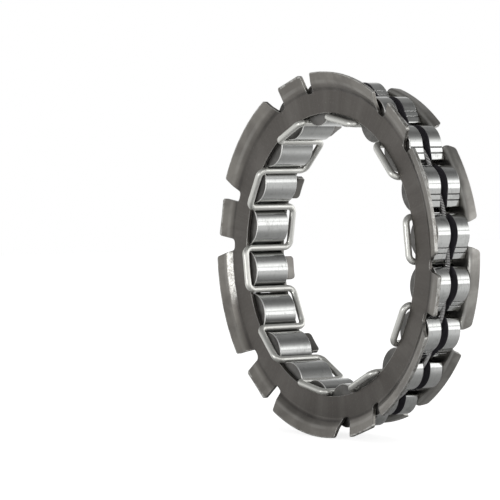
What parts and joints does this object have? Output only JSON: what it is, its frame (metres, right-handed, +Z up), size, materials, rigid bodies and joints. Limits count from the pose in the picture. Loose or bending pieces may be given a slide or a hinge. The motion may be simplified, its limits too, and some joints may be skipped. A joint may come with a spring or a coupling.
{
  "type": "sprag clutch",
  "caption": "Sprag clutch insert: a ring of steel sprags between two pressed sheet rings, held by a bent retaining wire and a garter spring.",
  "frame": {"origin": "centre of the ring, on its axis and halfway through its width", "axes": "+Y along the ring's axis, out of the rear ring; -Y out of the front ring with the dished tabs; +Z up, with the ring standing on edge as in the picture"},
  "size_m": [0.0702, 0.0124, 0.07],
  "materials": {
    "cage_steel": "dark phosphated pressed sheet steel, matt, worn bright on its edges",
    "wire_steel": "bright drawn spring steel wire",
    "spring_steel": "bright coiled spring steel wire",
    "sprag_steel": "hardened bearing steel, ground and polished on the cams"
  },
  "bodies": {
    "cage": {"front_cage_ring": "cage_steel", "rear_cage_ring": "cage_steel", "retaining_wire": "wire_steel", "garter_spring": "spring_steel"},
    "sprag_01": {"sprag_01": "sprag_steel"},
    "sprag_02": {"sprag_02": "sprag_steel"},
    "sprag_03": {"sprag_03": "sprag_steel"},
    "sprag_04": {"sprag_04": "sprag_steel"},
    "sprag_05": {"sprag_05": "sprag_steel"},
    "sprag_06": {"sprag_06": "sprag_steel"},
    "sprag_07": {"sprag_07": "sprag_steel"},
    "sprag_08": {"sprag_08": "sprag_steel"},
    "sprag_09": {"sprag_09": "sprag_steel"},
    "sprag_10": {"sprag_10": "sprag_steel"},
    "sprag_11": {"sprag_11": "sprag_steel"},
    "sprag_12": {"sprag_12": "sprag_steel"},
    "sprag_13": {"sprag_13": "sprag_steel"},
    "sprag_14": {"sprag_14": "sprag_steel"},
    "sprag_15": {"sprag_15": "sprag_steel"},
    "sprag_16": {"sprag_16": "sprag_steel"},
    "sprag_17": {"sprag_17": "sprag_steel"},
    "sprag_18": {"sprag_18": "sprag_steel"},
    "sprag_19": {"sprag_19": "sprag_steel"},
    "sprag_20": {"sprag_20": "sprag_steel"}
  },
  "joints": [
    {"name": "sprag_01_rock", "type": "hinge", "parent": "cage", "child": "sprag_01", "pos_m": [0.02876, 0, 0.00417], "axis": [0, -1, 0], "range_deg": [0, 12], "stiffness_Nm_per_rad": 0.002},
    {"name": "sprag_02_rock", "type": "hinge", "parent": "cage", "child": "sprag_02", "pos_m": [0.02606, 0, 0.01285], "axis": [0, -1, 0], "range_deg": [0, 12], "stiffness_Nm_per_rad": 0.002},
    {"name": "sprag_03_rock", "type": "hinge", "parent": "cage", "child": "sprag_03", "pos_m": [0.02082, 0, 0.02028], "axis": [0, -1, 0], "range_deg": [0, 12], "stiffness_Nm_per_rad": 0.002},
    {"name": "sprag_04_rock", "type": "hinge", "parent": "cage", "child": "sprag_04", "pos_m": [0.01353, 0, 0.02572], "axis": [0, -1, 0], "range_deg": [0, 12], "stiffness_Nm_per_rad": 0.002},
    {"name": "sprag_05_rock", "type": "hinge", "parent": "cage", "child": "sprag_05", "pos_m": [0.00492, 0, 0.02864], "axis": [0, -1, 0], "range_deg": [0, 12], "stiffness_Nm_per_rad": 0.002},
    {"name": "sprag_06_rock", "type": "hinge", "parent": "cage", "child": "sprag_06", "pos_m": [-0.00417, 0, 0.02876], "axis": [0, -1, 0], "range_deg": [0, 12], "stiffness_Nm_per_rad": 0.002},
    {"name": "sprag_07_rock", "type": "hinge", "parent": "cage", "child": "sprag_07", "pos_m": [-0.01285, 0, 0.02606], "axis": [0, -1, 0], "range_deg": [0, 12], "stiffness_Nm_per_rad": 0.002},
    {"name": "sprag_08_rock", "type": "hinge", "parent": "cage", "child": "sprag_08", "pos_m": [-0.02028, 0, 0.02082], "axis": [0, -1, 0], "range_deg": [0, 12], "stiffness_Nm_per_rad": 0.002},
    {"name": "sprag_09_rock", "type": "hinge", "parent": "cage", "child": "sprag_09", "pos_m": [-0.02572, 0, 0.01353], "axis": [0, -1, 0], "range_deg": [0, 12], "stiffness_Nm_per_rad": 0.002},
    {"name": "sprag_10_rock", "type": "hinge", "parent": "cage", "child": "sprag_10", "pos_m": [-0.02864, 0, 0.00492], "axis": [0, -1, 0], "range_deg": [0, 12], "stiffness_Nm_per_rad": 0.002},
    {"name": "sprag_11_rock", "type": "hinge", "parent": "cage", "child": "sprag_11", "pos_m": [-0.02876, 0, -0.00417], "axis": [0, -1, 0], "range_deg": [0, 12], "stiffness_Nm_per_rad": 0.002},
    {"name": "sprag_12_rock", "type": "hinge", "parent": "cage", "child": "sprag_12", "pos_m": [-0.02606, 0, -0.01285], "axis": [0, -1, 0], "range_deg": [0, 12], "stiffness_Nm_per_rad": 0.002},
    {"name": "sprag_13_rock", "type": "hinge", "parent": "cage", "child": "sprag_13", "pos_m": [-0.02082, 0, -0.02028], "axis": [0, -1, 0], "range_deg": [0, 12], "stiffness_Nm_per_rad": 0.002},
    {"name": "sprag_14_rock", "type": "hinge", "parent": "cage", "child": "sprag_14", "pos_m": [-0.01353, 0, -0.02572], "axis": [0, -1, 0], "range_deg": [0, 12], "stiffness_Nm_per_rad": 0.002},
    {"name": "sprag_15_rock", "type": "hinge", "parent": "cage", "child": "sprag_15", "pos_m": [-0.00492, 0, -0.02864], "axis": [0, -1, 0], "range_deg": [0, 12], "stiffness_Nm_per_rad": 0.002},
    {"name": "sprag_16_rock", "type": "hinge", "parent": "cage", "child": "sprag_16", "pos_m": [0.00417, 0, -0.02876], "axis": [0, -1, 0], "range_deg": [0, 12], "stiffness_Nm_per_rad": 0.002},
    {"name": "sprag_17_rock", "type": "hinge", "parent": "cage", "child": "sprag_17", "pos_m": [0.01285, 0, -0.02606], "axis": [0, -1, 0], "range_deg": [0, 12], "stiffness_Nm_per_rad": 0.002},
    {"name": "sprag_18_rock", "type": "hinge", "parent": "cage", "child": "sprag_18", "pos_m": [0.02028, 0, -0.02082], "axis": [0, -1, 0], "range_deg": [0, 12], "stiffness_Nm_per_rad": 0.002},
    {"name": "sprag_19_rock", "type": "hinge", "parent": "cage", "child": "sprag_19", "pos_m": [0.02572, 0, -0.01353], "axis": [0, -1, 0], "range_deg": [0, 12], "stiffness_Nm_per_rad": 0.002},
    {"name": "sprag_20_rock", "type": "hinge", "parent": "cage", "child": "sprag_20", "pos_m": [0.02864, 0, -0.00492], "axis": [0, -1, 0], "range_deg": [0, 12], "stiffness_Nm_per_rad": 0.002}
  ],
  "couplings": [
    {"joint": "sprag_02_rock", "follows": "sprag_01_rock", "ratio": 1},
    {"joint": "sprag_03_rock", "follows": "sprag_01_rock", "ratio": 1},
    {"joint": "sprag_04_rock", "follows": "sprag_01_rock", "ratio": 1},
    {"joint": "sprag_05_rock", "follows": "sprag_01_rock", "ratio": 1},
    {"joint": "sprag_06_rock", "follows": "sprag_01_rock", "ratio": 1},
    {"joint": "sprag_07_rock", "follows": "sprag_01_rock", "ratio": 1},
    {"joint": "sprag_08_rock", "follows": "sprag_01_rock", "ratio": 1},
    {"joint": "sprag_09_rock", "follows": "sprag_01_rock", "ratio": 1},
    {"joint": "sprag_10_rock", "follows": "sprag_01_rock", "ratio": 1},
    {"joint": "sprag_11_rock", "follows": "sprag_01_rock", "ratio": 1},
    {"joint": "sprag_12_rock", "follows": "sprag_01_rock", "ratio": 1},
    {"joint": "sprag_13_rock", "follows": "sprag_01_rock", "ratio": 1},
    {"joint": "sprag_14_rock", "follows": "sprag_01_rock", "ratio": 1},
    {"joint": "sprag_15_rock", "follows": "sprag_01_rock", "ratio": 1},
    {"joint": "sprag_16_rock", "follows": "sprag_01_rock", "ratio": 1},
    {"joint": "sprag_17_rock", "follows": "sprag_01_rock", "ratio": 1},
    {"joint": "sprag_18_rock", "follows": "sprag_01_rock", "ratio": 1},
    {"joint": "sprag_19_rock", "follows": "sprag_01_rock", "ratio": 1},
    {"joint": "sprag_20_rock", "follows": "sprag_01_rock", "ratio": 1}
  ]
}
